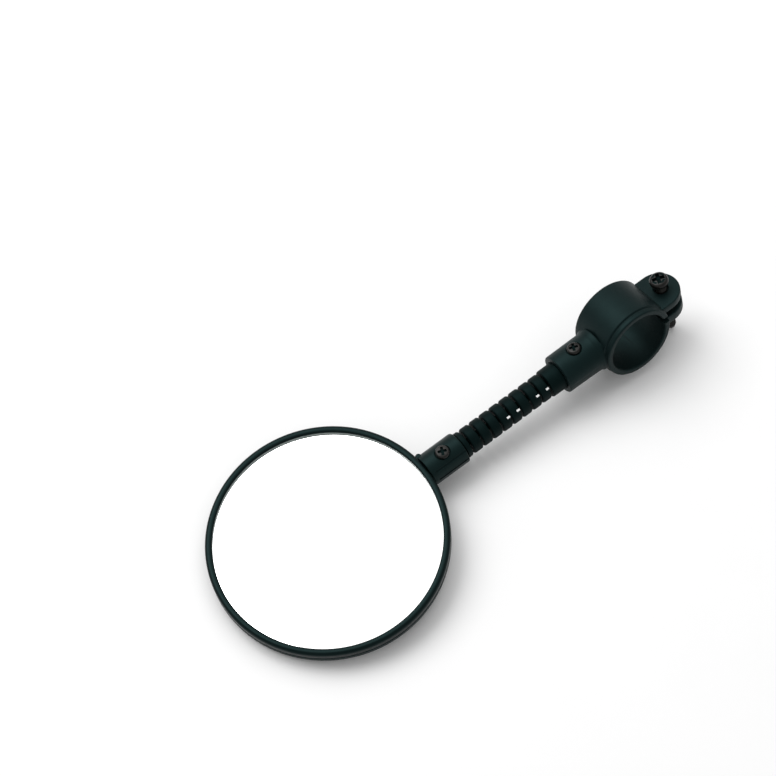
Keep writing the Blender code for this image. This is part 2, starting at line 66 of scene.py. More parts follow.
# Neck, along -X from the bore's centre
FIRST_GAP = 33.9
RIB_PITCH = 4.15
GAP_COUNT = 9
GAP = 0.64              # drawn narrower than the CAD's gap, still wide enough for a full bend
LAST_GAP = FIRST_GAP + (GAP_COUNT - 1) * RIB_PITCH
RIB_R = 4.75
COLLAR_R = 5.05
CORE_R = 1.42           # of the hole through the ribs
WEB_R = 1.25

# Head; heights are above the neck's axis
HEAD_X = -(LAST_GAP + 56.7)
HEAD_R = 40.0
RIM_TOP = 4.8
BACK = -2.2
PARTING = 1.6           # where the rim meets the shell
WALL = 1.6
GLASS_R = 37.6
GLASS_Z = 3.8
SILVER_Z = 3.15         # where the silvering seems to lie, seen through the glass
SOCKET_R = 5.55
SOCKET_END = 54.1       # from the head's centre
SOCKET_ROUND = 0.45
HEAD_SCREW_X = 47.2
LENS_X = -16.4
LENS_R = 12.4

# Clamp, in its own rolled frame
BORE_R = 11.2
RING_R = 13.6
RING_W = 18.0
CLAMP_SOCKET_R = 7.05
CLAMP_SOCKET_X = -28.05
CLAMP_SCREW_X = -19.9
EAR_R = 7.6
EAR_X = 16.2
EAR_TOP = 5.9
EAR_BOTTOM = -3.4
SLIT_TOP = 3.0
SLIT_BOTTOM = 0.2
SPLIT = radians(216.0)
BOLT_X = 18.0
BOLT_FOOT = 9.1
BOLT_LENGTH = 25.0
BOLT_LEAN = radians(3.8)

# Small slots through the neck beside its web, where light shows through
WINDOW_GAPS = (0, 1, 3, 4)
WINDOW_SIDE = 1.7
WINDOW_WAY = (-0.25, -0.35, 0.90)

BODY_M = Matrix.Rotation(REST_PITCH, 4, "Y")
CLAMP_M = BODY_M @ Matrix.Rotation(CLAMP_ROLL, 4, "X")
DISC_M = BODY_M @ Matrix.Translation((HEAD_X * MM, 0, 0))
LENS_M = DISC_M @ Matrix.Translation((LENS_X * MM, 0, 0))
HEAD_SCREW_M = DISC_M @ Matrix.Translation((HEAD_SCREW_X * MM, 0, 0))
NUB_M = DISC_M @ Matrix.Translation((40.6 * MM, 4.6 * MM, 2.4 * MM))
TO_HEAD = Matrix.Rotation(-pi / 2, 4, "Y")
ALONG_BORE = Matrix.Rotation(-pi / 2, 4, "X")
BORE_M = CLAMP_M @ ALONG_BORE
CLAMP_SCREW_M = CLAMP_M @ Matrix.Translation((CLAMP_SCREW_X * MM, 0, 0))
BOLT_M = CLAMP_M @ Matrix.Translation((BOLT_X * MM, 0, 0)) @ Matrix.Rotation(-BOLT_LEAN, 4, "Y")


# ------------------------------------------------------------------ materials

class Nodes:
    """Short hand for one material's node tree."""

    def __init__(self, name):
        self.material = bpy.data.materials.new(name)
        self.material.use_nodes = True
        self.tree = self.material.node_tree
        self.shader = self.tree.nodes["Principled BSDF"]
        coords = self.add("ShaderNodeTexCoord")
        self.coords = coords.outputs["Object"]

    def add(self, kind, **settings):
        node = self.tree.nodes.new(kind)
        for key, value in settings.items():
            setattr(node, key, value)
        return node

    def link(self, source, target):
        self.tree.links.new(source, target)

    def noise(self, scale, detail=3.0, rough=0.5, stretch=None, distort=0.0):
        node = self.add("ShaderNodeTexNoise")
        node.inputs["Scale"].default_value = scale
        node.inputs["Detail"].default_value = detail
        node.inputs["Roughness"].default_value = rough
        node.inputs["Distortion"].default_value = distort
        source = self.coords
        if stretch:
            mapping = self.add("ShaderNodeMapping")
            mapping.inputs["Scale"].default_value = stretch
            self.link(self.coords, mapping.inputs["Vector"])
            source = mapping.outputs["Vector"]
        self.link(source, node.inputs["Vector"])
        return node.outputs["Fac"]

    def ramp(self, source, *stops):
        node = self.add("ShaderNodeValToRGB")
        elements = node.color_ramp.elements
        while len(elements) < len(stops):
            elements.new(0.5)
        for element, (place, colour) in zip(elements, stops):
            element.position = place
            element.color = (*colour, 1.0) if len(colour) == 3 else colour
        self.link(source, node.inputs["Fac"])
        return node.outputs["Color"]

    def colour(self, source, *stops):
        self.link(self.ramp(source, *stops), self.shader.inputs["Base Color"])

    def scale(self, source, low, high):
        node = self.add("ShaderNodeMapRange")
        node.inputs["To Min"].default_value = low
        node.inputs["To Max"].default_value = high
        self.link(source, node.inputs["Value"])
        return node.outputs["Result"]

    def bump(self, source, strength, distance, normal=None):
        node = self.add("ShaderNodeBump")
        node.inputs["Strength"].default_value = strength
        node.inputs["Distance"].default_value = distance
        self.link(source, node.inputs["Height"])
        if normal:
            self.link(normal, node.inputs["Normal"])
        return node.outputs["Normal"]

    def bevel(self, radius):
        node = self.add("ShaderNodeBevel", samples=6)
        node.inputs["Radius"].default_value = radius
        return node.outputs["Normal"]


def moulded(name, colour, roughness, grain=0.06, round_by=0.35, scratch=True):
    """Satin moulded plastic: fine spark grain, slow flow marks, faint handling scuffs."""
    n = Nodes(name)
    dark = tuple(c * 0.80 for c in colour)
    light = tuple(c * 1.22 for c in colour)
    slow = n.noise(90, 4, 0.6, distort=0.6)
    n.colour(slow, (0.30, dark), (0.72, light))
    cloud = n.noise(420, 5, 0.7)
    n.link(n.scale(cloud, roughness - 0.08, roughness + 0.10), n.shader.inputs["Roughness"])
    normal = n.bevel(round_by * MM)
    normal = n.bump(slow, 0.12, 0.4 * MM, normal)
    if scratch:
        hair = n.noise(260, 2, 0.4, stretch=(9.0, 0.6, 1.0), distort=1.5)
        normal = n.bump(hair, 0.05, 0.05 * MM, normal)
    normal = n.bump(n.noise(3200, 2, 0.5), grain * 4, 0.05 * MM, normal)
    n.link(normal, n.shader.inputs["Normal"])
    n.shader.inputs["Specular IOR Level"].default_value = 0.15
    n.shader.inputs["Specular Tint"].default_value = (0.50, 0.95, 0.95, 1.0)
    return n.material


def soft_moulded(name):
    """Flexible black plastic of the neck: duller, with a faint bloom of dust."""
    n = Nodes(name)
    bloom = n.noise(240, 5, 0.65)
    n.colour(bloom, (0.35, (0.0014, 0.0042, 0.0042)), (0.8, (0.0028, 0.0068, 0.0068)))
    n.link(n.scale(bloom, 0.40, 0.62), n.shader.inputs["Roughness"])
    normal = n.bump(n.noise(2600, 2, 0.5), 0.25, 0.05 * MM, n.bevel(0.2 * MM))
    n.link(normal, n.shader.inputs["Normal"])
    n.shader.inputs["Specular IOR Level"].default_value = 0.08
    n.shader.inputs["Specular Tint"].default_value = (0.45, 0.95, 0.95, 1.0)
    return n.material


def silvered(name):
    """Mirror: silvering behind clear glass, with the slightest waviness."""
    n = Nodes(name)
    haze = n.noise(60, 3, 0.5)
    n.colour(haze, (0.3, (0.93, 0.945, 0.94)), (0.7, (0.965, 0.97, 0.965)))
    n.link(n.scale(haze, 0.012, 0.03), n.shader.inputs["Roughness"])
    n.link(n.bump(n.noise(25, 1, 0.4), 0.01, 0.5 * MM), n.shader.inputs["Normal"])
    n.shader.inputs["Metallic"].default_value = 1.0
    n.shader.inputs["Coat Weight"].default_value = 0.4
    n.shader.inputs["Coat Roughness"].default_value = 0.02
    return n.material


def ground_edge(name):
    n = Nodes(name)
    frost = n.noise(900, 3, 0.6)
    n.colour(frost, (0.3, (0.34, 0.42, 0.40)), (0.7, (0.55, 0.63, 0.61)))
    n.link(n.scale(frost, 0.25, 0.5), n.shader.inputs["Roughness"])
    n.shader.inputs["Transmission Weight"].default_value = 0.3
    return n.material


def plated(name):
    """Black plated screw: dark metal with wiped edges and turning marks."""
    n = Nodes(name)
    wear = n.noise(700, 4, 0.7)
    n.colour(wear, (0.35, (0.004, 0.004, 0.0038)), (0.75, (0.017, 0.017, 0.014)))
    n.link(n.scale(wear, 0.26, 0.42), n.shader.inputs["Roughness"])
    n.link(n.bump(n.noise(2400, 2, 0.5), 0.2, 0.04 * MM, n.bevel(0.12 * MM)), n.shader.inputs["Normal"])
    n.shader.inputs["Metallic"].default_value = 0.5
    return n.material


def prismatic(name):
    """Clear moulded reflector over white."""
    n = Nodes(name)
    tint = n.noise(500, 3, 0.5)
    n.colour(tint, (0.3, (0.56, 0.58, 0.58)), (0.7, (0.74, 0.75, 0.75)))
    n.link(n.scale(tint, 0.10, 0.2), n.shader.inputs["Roughness"])
    n.link(n.bump(tint, 0.05, 0.05 * MM), n.shader.inputs["Normal"])
    n.shader.inputs["Coat Weight"].default_value = 0.8
    n.shader.inputs["Coat Roughness"].default_value = 0.05
    return n.material


def foam_like(name):
    n = Nodes(name)
    cells = n.noise(2200, 3, 0.7)
    n.colour(cells, (0.3, (0.55, 0.55, 0.52)), (0.7, (0.80, 0.80, 0.77)))
    n.link(n.bump(cells, 0.6, 0.15 * MM), n.shader.inputs["Normal"])
    n.shader.inputs["Roughness"].default_value = 0.9
    return n.material


def pale_floor(name):
    n = Nodes(name)
    paper = n.noise(35, 4, 0.6)
    n.colour(paper, (0.2, (0.925, 0.925, 0.925)), (0.8, (0.94, 0.94, 0.94)))
    n.shader.inputs["Roughness"].default_value = 0.85
    n.shader.inputs["Specular IOR Level"].default_value = 0.15
    return n.material


SHELL = moulded("shell_black", (0.0032, 0.0078, 0.0078), 0.42)
BEZEL = moulded("bezel_black", (0.0014, 0.0034, 0.0034), 0.34, grain=0.04)
CLAMP = moulded("clamp_black", (0.0032, 0.0078, 0.0080), 0.45)
NECK = soft_moulded("neck_black")
MIRROR = silvered("silvering")
EDGE = ground_edge("glass_edge")
SCREW = plated("plated_screw")
LENS = prismatic("reflector_clear")
FOAM = foam_like("foam_pad")
# Painted shade: a darker, duller copy of the neck's plastic for the insides of the screws' cross recesses,
# standing in for the shade there
RECESS_SHADE = soft_moulded("recess_painted_shade")


# ------------------------------------------------------------------ mesh helpers

def new_object(name, bm, matrix=None):
    mesh = bpy.data.meshes.new(name)
    bmesh.ops.recalc_face_normals(bm, faces=bm.faces)
    bm.to_mesh(mesh)
    bm.free()
    mesh.transform(Matrix.Scale(MM, 4))
    if matrix:
        mesh.transform(matrix)
    obj = bpy.data.objects.new(name, mesh)
    bpy.context.scene.collection.objects.link(obj)
    return obj


def arc(x, y, radius, start, end, count):
    angles = [start + (end - start) * i / count for i in range(count + 1)]
    return [(x + radius * cos(angle), y + radius * sin(angle)) for angle in angles]


def rectangle(half_x, half_y):
    return [(-half_x, -half_y), (half_x, -half_y), (half_x, half_y), (-half_x, half_y)]


def hexagon(radius):
    return [(radius * cos(k * pi / 3), radius * sin(k * pi / 3)) for k in range(6)]


def disc(radius, low, high):
    """The profile of a plain cylinder."""
    return [(0, high), (radius, high), (radius, low), (0, low)]


def lathe(name, profile, matrix=None, steps=96, closed=False, wobble=None):
    """Turns (radius, height) points about Z. A zero radius closes to a point; wobble changes the radius."""
    bm = bmesh.new()
    rings = []
    for radius, height in profile:
        if radius < 1e-6:
            rings.append([bm.verts.new((0, 0, height))] * steps)
            continue
        ring = []
        for i in range(steps):
            angle = tau * i / steps
            r = radius + (wobble(angle, radius, height) if wobble else 0)
            ring.append(bm.verts.new((r * cos(angle), r * sin(angle), height)))
        rings.append(ring)
    pairs = list(zip(rings, rings[1:]))
    if closed:
        pairs.append((rings[-1], rings[0]))
    for a, b in pairs:
        for i in range(steps):
            j = (i + 1) % steps
            corners = []
            for v in (a[i], a[j], b[j], b[i]):
                if v not in corners:
                    corners.append(v)
            if len(corners) > 2:
                bm.faces.new(corners)
    return new_object(name, bm, matrix)


def slab(name, outline, low, high, matrix=None):
    """A flat outline between two heights, closed with end faces."""
    bm = bmesh.new()
    bottom = [bm.verts.new((x, y, low)) for x, y in outline]
    top = [bm.verts.new((x, y, high)) for x, y in outline]
    bm.faces.new(bottom)
    bm.faces.new(top)
    for i in range(len(outline)):
        j = (i + 1) % len(outline)
        bm.faces.new((bottom[i], bottom[j], top[j], top[i]))
    return new_object(name, bm, matrix)


def loft(name, sections, matrix=None):
    """Joins closed sections of equal point counts, with end faces."""
    bm = bmesh.new()
    rings = [[bm.verts.new(p) for p in section] for section in sections]
    for a, b in zip(rings, rings[1:]):
        for i in range(len(a)):
            j = (i + 1) % len(a)
            bm.faces.new((a[i], a[j], b[j], b[i]))
    bm.faces.new(rings[0])
    bm.faces.new(rings[-1])
    return new_object(name, bm, matrix)


def apply(obj):
    """Makes an object's modifiers part of its mesh."""
    graph = bpy.context.evaluated_depsgraph_get()
    mesh = bpy.data.meshes.new_from_object(obj.evaluated_get(graph))
    obj.modifiers.clear()
    obj.data = mesh


def boolean(obj, operation, other, keep=False):
    """Joins, cuts or keeps what two objects share; the second one is then removed."""
    modifier = obj.modifiers.new("cut", "BOOLEAN")
    modifier.operation = operation
    modifier.solver = "EXACT"
    modifier.object = other
    apply(obj)
    if not keep:
        bpy.data.objects.remove(other, do_unlink=True)


def bevelled(obj, width, segments=3, angle=40):
    modifier = obj.modifiers.new("bevel", "BEVEL")
    modifier.width = width * MM
    modifier.segments = segments
    modifier.limit_method = "ANGLE"
    modifier.angle_limit = radians(angle)
    apply(obj)
    return obj


def finish_piece(obj, material, body, replaces=(), smooth=32, ride=True):
    obj.data.materials.clear()
    obj.data.materials.append(material)
    obj.data.shade_smooth()
    obj.data.set_sharp_from_angle(angle=radians(smooth))
    if ride:
        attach(obj, body)
    if replaces:
        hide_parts(*replaces)
    return obj


# ------------------------------------------------------------------ screws

def screw_profile(head_r, head_h, shank_r, length, pitch):
    flat = head_r * 0.50
    profile = [(0, head_h), (flat * 0.5, head_h - 0.01), (flat, head_h - 0.05)]
    profile += arc(head_r - 0.55 * head_h, 0.42 * head_h, 0.55 * head_h, radians(72), radians(-8), 8)
    profile += [(head_r - 0.12, 0.10), (head_r - 0.3, 0.0), (shank_r, 0)]
    if pitch:
        for k in range(int((length - 1.0) / (pitch / 2))):
            profile.append((shank_r if k % 2 else shank_r - 0.30, -0.3 - k * pitch / 2))
    return profile + [(shank_r - 0.4, -length), (0, -length)]


def pan_head_screw(name, head_r, head_h, shank_r, length, cross, depth, matrix, body, node, pitch=0.0):
    """Cross-recessed pan head; the origin is the underside of the head."""
    screw = lathe(name, screw_profile(head_r, head_h, shank_r, length, pitch), matrix, 48)
    for turn in (0, pi / 2):
        place = matrix @ Matrix.Rotation(turn + pi / 4 + 0.35, 4, "Z")
        arm = slab("arm", rectangle(cross / 2, 0.15 * cross), head_h - depth, head_h + 1, place)
        boolean(screw, "DIFFERENCE", arm)
    pit_r = cross * 0.24
    pit = [(0, head_h + 1), (pit_r, head_h + 1), (pit_r, head_h - depth * 0.8), (0, head_h - depth * 1.5)]
    boolean(screw, "DIFFERENCE", lathe("pit", pit, matrix, 24))
    finish_piece(screw, SCREW, body, [node])
    # The cross recess gets painted shade
    paint_recess_shade(screw, matrix, cross * 0.52, head_h - 0.09)


# Painted shade: the faces inside the cross recess take the darker recess material, standing in for the shade
# that falls in it
def paint_recess_shade(screw, matrix, radius, top):
    screw.data.materials.append(RECESS_SHADE)
    local = matrix.inverted()
    for polygon in screw.data.polygons:
        place = local @ polygon.center / MM
        inside = sqrt(place.x ** 2 + place.y ** 2) < radius
        if inside and 0.1 < place.z < top:
            polygon.material_index = 1


# ------------------------------------------------------------------ head

def build_head():
    head_shell()
    rim()
    glass()
    reuse_pad()
    lens_border()
    lens_cells()
    at = HEAD_SCREW_M @ Matrix.Translation((0, 0, 5.1 * MM))
    pan_head_screw("head_screw", 2.4, 1.35, 1.2, 3.2, 3.1, 0.8, at, "head", "head_socket_screw")


def head_shell():
    """Dish with the fairing and socket of the neck; its name is its piece's name."""
    dish = lathe("head_shell", dish_profile(), DISC_M, 192)
    boolean(dish, "UNION", fairing())
    inside = HEAD_R - WALL
    boolean(dish, "DIFFERENCE", lathe("cavity", disc(inside, BACK + 1.8, 30), DISC_M, 192))
    boolean(dish, "DIFFERENCE", lathe("room", disc(HEAD_R + 0.05, PARTING + 0.02, 30), DISC_M, 192))
    boolean(dish, "UNION", lathe("boss", disc(LENS_R + 1.8, BACK + 1.5, BACK + 3.4), LENS_M, 96))
    boolean(dish, "DIFFERENCE", lathe("pocket", pocket_profile(), LENS_M, 128))
    boolean(dish, "DIFFERENCE", lathe("mouth", mouth_profile(), DISC_M @ Matrix.Rotation(pi / 2, 4, "Y"), 64))
    for turn, width in ((134, 0.75), (168, 0.6)):
        boolean(dish, "DIFFERENCE", socket_groove(turn, width))
    nub = [(0, 1.1), (0.9, 1.1), (1.1, 0.8), (1.1, -1.2), (0, -1.2)]
    boolean(dish, "UNION", lathe("nub", nub, NUB_M, 24))
    recess = [(0, 9), (2.85, 9), (2.75, 5.4), (2.6, 5.1), (2.6, 4.95), (1.5, 4.95), (1.5, 0), (0, 0)]
    boolean(dish, "DIFFERENCE", lathe("recess", recess, HEAD_SCREW_M, 48))
    finish_piece(dish, SHELL, "head", ["back_shell"])


def dish_profile():
    edge = 2.4
    inside = HEAD_R - WALL
    outer = [(0, BACK), (37.0, BACK)]
    outer += arc(37.3, BACK + 1.5, 1.5, radians(-90), radians(-42), 4)
    outer += arc(HEAD_R - edge, BACK + edge, edge, radians(-38), 0, 6)
    side = [(HEAD_R, PARTING - 0.28), (HEAD_R - 0.22, PARTING - 0.08), (HEAD_R - 0.22, PARTING)]
    return outer + side + [(inside, PARTING), (inside, BACK + 1.8), (0, BACK + 1.8)]


def pocket_profile():
    """Recess of the reflector, open at the back."""
    narrow = LENS_R + 0.45
    wide = LENS_R + 0.75
    inside = [(0, BACK + 2.45), (narrow, BACK + 2.45), (narrow, BACK + 0.3)]
    return inside + [(wide, BACK - 0.02), (wide, BACK - 1), (0, BACK - 1)]


def mouth_profile():
    return [(0, 60), (4.9, 60), (4.9, SOCKET_END - 0.15), (4.2, SOCKET_END - 0.8), (4.2, 43.5), (0, 43.5)]


def socket_groove(turn, width):
    """A line along the socket; turn is degrees round it from the +Y side."""
    near, far = 41.6, SOCKET_END + 1
    strip = [(near, -width / 2), (far, -width / 2), (far, width / 2), (near, width / 2)]
    place = DISC_M @ Matrix.Rotation(radians(turn - 90), 4, "X")
    return slab("groove", strip, SOCKET_R - 0.3, SOCKET_R + 1, place)


def fairing():
    """The socket, narrowing into the fin that runs over the rim towards the middle of the back."""
    stations = [SOCKET_END - step for step in (0, 0.08, 0.22, 0.45, 1.0)]
    stations += [SOCKET_END - 1.0 - k * (SOCKET_END - 1.0 - 41.0) / 4 for k in range(1, 5)]
    sections = [socket_section(x) for x in stations]
    sections += [fin_section(HEAD_R - k) if k else socket_section(HEAD_R) for k in range(19)]
    return loft("fairing", sections, DISC_M)


def ring_angles(count=48):
    return [tau * i / count for i in range(count)]


def socket_section(x):
    """Round section at a distance from the head's centre, with a slight step down each side."""
    end = SOCKET_END - x
    shrink = 0.0
    if end < SOCKET_ROUND:
        shrink = SOCKET_ROUND - sqrt(max(SOCKET_ROUND ** 2 - (SOCKET_ROUND - end) ** 2, 0))
    radius = SOCKET_R - shrink
    points = []
    for angle in ring_angles():
        step = 0.16 if -0.35 < sin(angle) < 0.28 else 0.0
        points.append((x, (radius + step) * cos(angle), radius * sin(angle)))
    return points


def fin_section(x):
    """Section of the fin: it gets narrower and shallower towards its rounded tip."""
    t = (HEAD_R - x) / 18.0
    width = 5.6 * (1 - t) ** 0.85 + 1.3 * t
    drop = 5.55 * (1 - t) + (-BACK + 0.75) * t
    if t > 0.86:
        tip = (t - 0.86) / 0.14
        width *= sqrt(max(1 - tip ** 2, 0.0)) + 0.02
        drop = drop * (1 - tip ** 2) + (-BACK - 0.2) * tip ** 2
    top = 1.2 if x > 38 else BACK + 1.0
    points = []
    for angle in ring_angles():
        c, s = cos(angle), sin(angle)
        y = width * (abs(c) ** 0.9) * (1 if c > 0 else -1)
        points.append((x, y, fin_height(s, top, drop)))
    return points


def fin_height(s, top, drop):
    if top > 0:
        return top * s if s > 0 else drop * s
    return max(top + (drop + top) * s, -drop) if s < 0 else top


def rim():
    profile = [(GLASS_R, RIM_TOP - 0.55), (GLASS_R + 0.12, RIM_TOP - 0.2), (GLASS_R + 0.45, RIM_TOP - 0.02)]
    profile += arc(HEAD_R - 1.15, RIM_TOP - 1.15, 1.15, radians(88), 0, 8)
    profile += [(HEAD_R, PARTING + 0.45), (HEAD_R - 0.16, PARTING + 0.22), (HEAD_R - 0.20, PARTING + 0.05)]
    profile += [(38.5, PARTING + 0.05), (38.5, GLASS_Z + 0.12), (GLASS_R, GLASS_Z + 0.12)]
    bezel = lathe("bezel", profile, DISC_M, 256, closed=True)
    finish_piece(bezel, BEZEL, "head", ["bezel_ring"], smooth=50)


def glass():
    """Silvering inside the ground edge of the plate."""
    back = GLASS_Z - 1.9
    plate = [(0, SILVER_Z), (37.55, SILVER_Z), (37.58, GLASS_Z), (37.8, GLASS_Z), (37.8, back), (0, back)]
    face = lathe("glass_plate", plate, DISC_M, 256)
    finish_piece(face, MIRROR, "head", ["mirror_glass"])
    face.data.materials.append(EDGE)
    flat = DISC_M.inverted()
    for polygon in face.data.polygons:
        middle = flat @ polygon.center / MM
        if sqrt(middle.x ** 2 + middle.y ** 2) > 37.5:
            polygon.material_index = 1


def reuse_pad():
    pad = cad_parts["adhesive_pad"]
    pad.data.materials.clear()
    pad.data.materials.append(FOAM)


LENS_FACE = BACK + 0.15
CELL = 0.62             # from a cell's middle to its corner
CELL_BASE = LENS_FACE + 0.42
CELL_CREST = LENS_FACE + 0.10
CELL_FIELD = LENS_R - 1.25


def lens_border():
    """Plain border of the clear reflector."""
    inner, back = LENS_R - 1.3, LENS_FACE + 1.45
    border = [(inner, LENS_FACE + 0.06), (LENS_R - 0.5, LENS_FACE), (LENS_R - 0.15, LENS_FACE + 0.12)]
    border += [(LENS_R, LENS_FACE + 0.4), (LENS_R, back), (inner, back)]
    ring = lathe("lens_border", border, LENS_M, 96, closed=True)
    finish_piece(ring, LENS, "head", ["reflector_lens"])


def lens_cells():
    """Cube-corner cells in a honeycomb, on a flat base."""
    bm = bmesh.new()
    rows = int(CELL_FIELD / (CELL * 1.5)) + 2
    for row in range(-rows, rows + 1):
        for column in range(-rows * 2, rows * 2 + 1):
            x = CELL * 1.5 * row
            y = CELL * sqrt(3) * (column + (row % 2) * 0.5)
            if sqrt(x * x + y * y) <= CELL_FIELD:
                add_cell(bm, x, y)
    add_cell_base(bm)
    cells = new_object("lens_cells", bm, LENS_M)
    finish_piece(cells, LENS, "head", ["reflector_backing"], smooth=5)


def add_cell(bm, x, y):
    peak = bm.verts.new((x, y, CELL_CREST))
    limit = CELL_FIELD + 0.1
    corners = []
    for k in range(6):
        px, py = x + CELL * cos(k * pi / 3), y + CELL * sin(k * pi / 3)
        reach = sqrt(px * px + py * py)
        if reach > limit:
            px, py = px * limit / reach, py * limit / reach
        corners.append(bm.verts.new((px, py, CELL_BASE if k % 2 else CELL_BASE - 0.16)))
    for k in (0, 2, 4):
        bm.faces.new((peak, corners[k], corners[k + 1], corners[(k + 2) % 6]))


def add_cell_base(bm):
    radius, top, count = CELL_FIELD + 0.15, CELL_BASE + 0.02, 64
    angles = ring_angles(count)
    edge = [bm.verts.new((radius * cos(angle), radius * sin(angle), top)) for angle in angles]
    low = [bm.verts.new((v.co.x, v.co.y, CELL_BASE + 0.6)) for v in edge]
    bm.faces.new(edge)
    bm.faces.new(low)
    for i in range(count):
        j = (i + 1) % count
        bm.faces.new((edge[i], edge[j], low[j], low[i]))


# ------------------------------------------------------------------ neck

RIB_LOW = GAP / 2
RIB_HIGH = RIB_PITCH - GAP / 2
RIB_HOLE = CORE_R + 0.05
RIB_SOFT = 0.7          # rounding of each rib's edges


def gap_matrix(gap):
    """At a gap, with Z along the neck towards the head."""
    return BODY_M @ Matrix.Translation((-(FIRST_GAP + gap * RIB_PITCH) * MM, 0, 0)) @ TO_HEAD


def build_neck():
    ribs = [rib(i) for i in range(GAP_COUNT - 1)]
    drill_windows([collar()] + ribs)
    end_rib()
    for gap in range(GAP_COUNT):
        web(gap)


def rib_start():
    """The side of a rib or of the end rib that faces the clamp."""
    return arc(RIB_R - RIB_SOFT, RIB_LOW + RIB_SOFT, RIB_SOFT, 0, -pi / 2, 6)


def rib(i):
    profile = [(RIB_HOLE, RIB_HIGH - 0.1), (RIB_R * 0.6, RIB_HIGH - 0.02)]
    profile += arc(RIB_R - RIB_SOFT, RIB_HIGH - RIB_SOFT, RIB_SOFT, pi / 2, 0, 6)
    profile += rib_start() + [(RIB_R * 0.6, RIB_LOW + 0.02), (RIB_HOLE, RIB_LOW + 0.1)]
    made = lathe(f"rib_{i + 1}", profile, gap_matrix(i), 96, closed=True, wobble=seam)
    return finish_piece(made, NECK, f"rib_{i + 1}", [f"neck_rib_{i + 1}"], smooth=50)


def collar():
    start = -(FIRST_GAP + CLAMP_SOCKET_X) + 0.1
    profile = [(RIB_HOLE, -RIB_LOW)] + arc(COLLAR_R - 0.5, -RIB_LOW - 0.5, 0.5, pi / 2, 0, 5)
    profile += [(COLLAR_R + 0.05, start), (4.6, start), (4.6, start - 9.5), (RIB_HOLE, start - 9.5)]
    made = lathe("collar", profile, gap_matrix(0), 96, closed=True, wobble=seam)
    return finish_piece(made, NECK, "clamp", ["neck_collar"], smooth=50)


def end_rib():
    shoulder = RIB_LOW + 1.85
    profile = [(0, 12.0), (3.9, 12.0), (3.9, shoulder), (RIB_R, shoulder)] + rib_start()
    profile += [(RIB_HOLE, RIB_LOW + 0.1), (RIB_HOLE, 10.0), (0, 10.0)]
    made = lathe("end_rib", profile, gap_matrix(GAP_COUNT - 1), 96, wobble=seam)
    finish_piece(made, NECK, "head", ["neck_end_plug"], smooth=50)


def web(gap):
    """One length of the web on the neck's axis, at its gap."""
    reach = RIB_PITCH / 2
    profile = [(0, reach)] + [(WEB_R, reach * (1 - j / 8)) for j in range(17)] + [(0, -reach)]
    made = lathe(f"web_{gap + 1}", profile, gap_matrix(gap), 32)
    finish_piece(made, NECK, None, ["core_wire"], smooth=50, ride=False)
    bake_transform(made)


def drill_windows(ribs):
    slant = Vector((0, 0, 1)).rotation_difference(Vector(WINDOW_WAY)).to_matrix().to_4x4()
    for gap in WINDOW_GAPS:
        place = Matrix.Translation((-(FIRST_GAP + gap * RIB_PITCH) * MM, -WINDOW_SIDE * MM, 0))
        for piece in ribs[gap:gap + 2]:
            window = slab("window", rectangle(0.6, 0.38), -8, 8, BODY_M @ place @ slant)
            boolean(piece, "DIFFERENCE", window)


def seam(angle, radius, height):
    """A fine parting line down each side of the neck."""
    near = min(abs(angle - pi / 2), abs(angle - 3 * pi / 2))
    return 0.06 if near < 0.05 and radius > 3.5 else 0.0


# ------------------------------------------------------------------ clamp

def build_clamp():
    ring = clamp_moulding()
    jaw = split_jaw(ring)
    finish_piece(ring, CLAMP, "clamp", ["clamp_body"])
    finish_piece(jaw, CLAMP, None, ["clamp_lower_jaw"], ride=False)
    bend_jaw(jaw)
    at = CLAMP_SCREW_M @ Matrix.Translation((0, 0, 6.65 * MM))
    pan_head_screw("clamp_socket_fixing", 2.4, 1.4, 1.2, 4.6, 3.1, 0.8, at, "clamp", "clamp_socket_screw")
    at = BOLT_M @ Matrix.Translation((0, 0, BOLT_FOOT * MM))
    pan_head_screw("clamp_bolt", 3.3, 2.35, 1.95, BOLT_LENGTH, 4.3, 1.4, at, "screw", "clamp_screw",
                   pitch=0.7)
    hex_nut()


def clamp_moulding():
    """Ring, socket and ears in one, with every hole cut."""
    ring = lathe("clamp_moulding", ring_profile(), BORE_M, 192, closed=True)
    to_head = CLAMP_M @ TO_HEAD
    boolean(ring, "UNION", lathe("socket", barrel_profile(), to_head, 96, wobble=socket_step))
    for low, high in ((SLIT_TOP, EAR_TOP), (EAR_BOTTOM, SLIT_BOTTOM)):
        boolean(ring, "UNION", bevelled(slab("ear", ear_outline(), low, high, CLAMP_M), 0.35, 3))
    boolean(ring, "DIFFERENCE", lathe("bore", disc(BORE_R, -20, 20), BORE_M, 192))
    boolean(ring, "DIFFERENCE", lathe("plug", plug_profile(), to_head, 64))
    gap = slab("gap", [(5, -12), (30, -12), (30, 12), (5, 12)], SLIT_BOTTOM, SLIT_TOP, CLAMP_M)
    boolean(ring, "DIFFERENCE", gap)
    recess = [(0, 12), (2.85, 12), (2.75, 6.9), (2.6, 6.6), (2.6, 6.4), (1.5, 6.4), (1.5, 0), (0, 0)]
    boolean(ring, "DIFFERENCE", lathe("recess", recess, CLAMP_SCREW_M, 48))
    boolean(ring, "DIFFERENCE", lathe("bolt_hole", bolt_hole_profile(), BOLT_M, 48))
    return ring


def ring_profile():
    """Along the bore, whose own Z points to +Y: a stepped lip at the -Y end, the other end rounded."""
    half = RING_W / 2
    front = [(BORE_R + 0.35, half), (12.5, half)] + arc(12.75, half - 0.5, 0.5, radians(80), 0, 4)
    front += [(13.3, half - 1.0), (13.38, half - 1.6), (13.12, half - 1.85), (13.12, half - 2.1)]
    front += [(RING_R, half - 2.45)]
    rear = [(RING_R, 0.9 - half)] + arc(RING_R - 0.9, 0.9 - half, 0.9, 0, radians(-90), 5)
    rear += [(BORE_R + 0.35, -half), (BORE_R, 0.35 - half), (BORE_R, half - 0.35)]
    return [(r, -z) for r, z in front + rear]


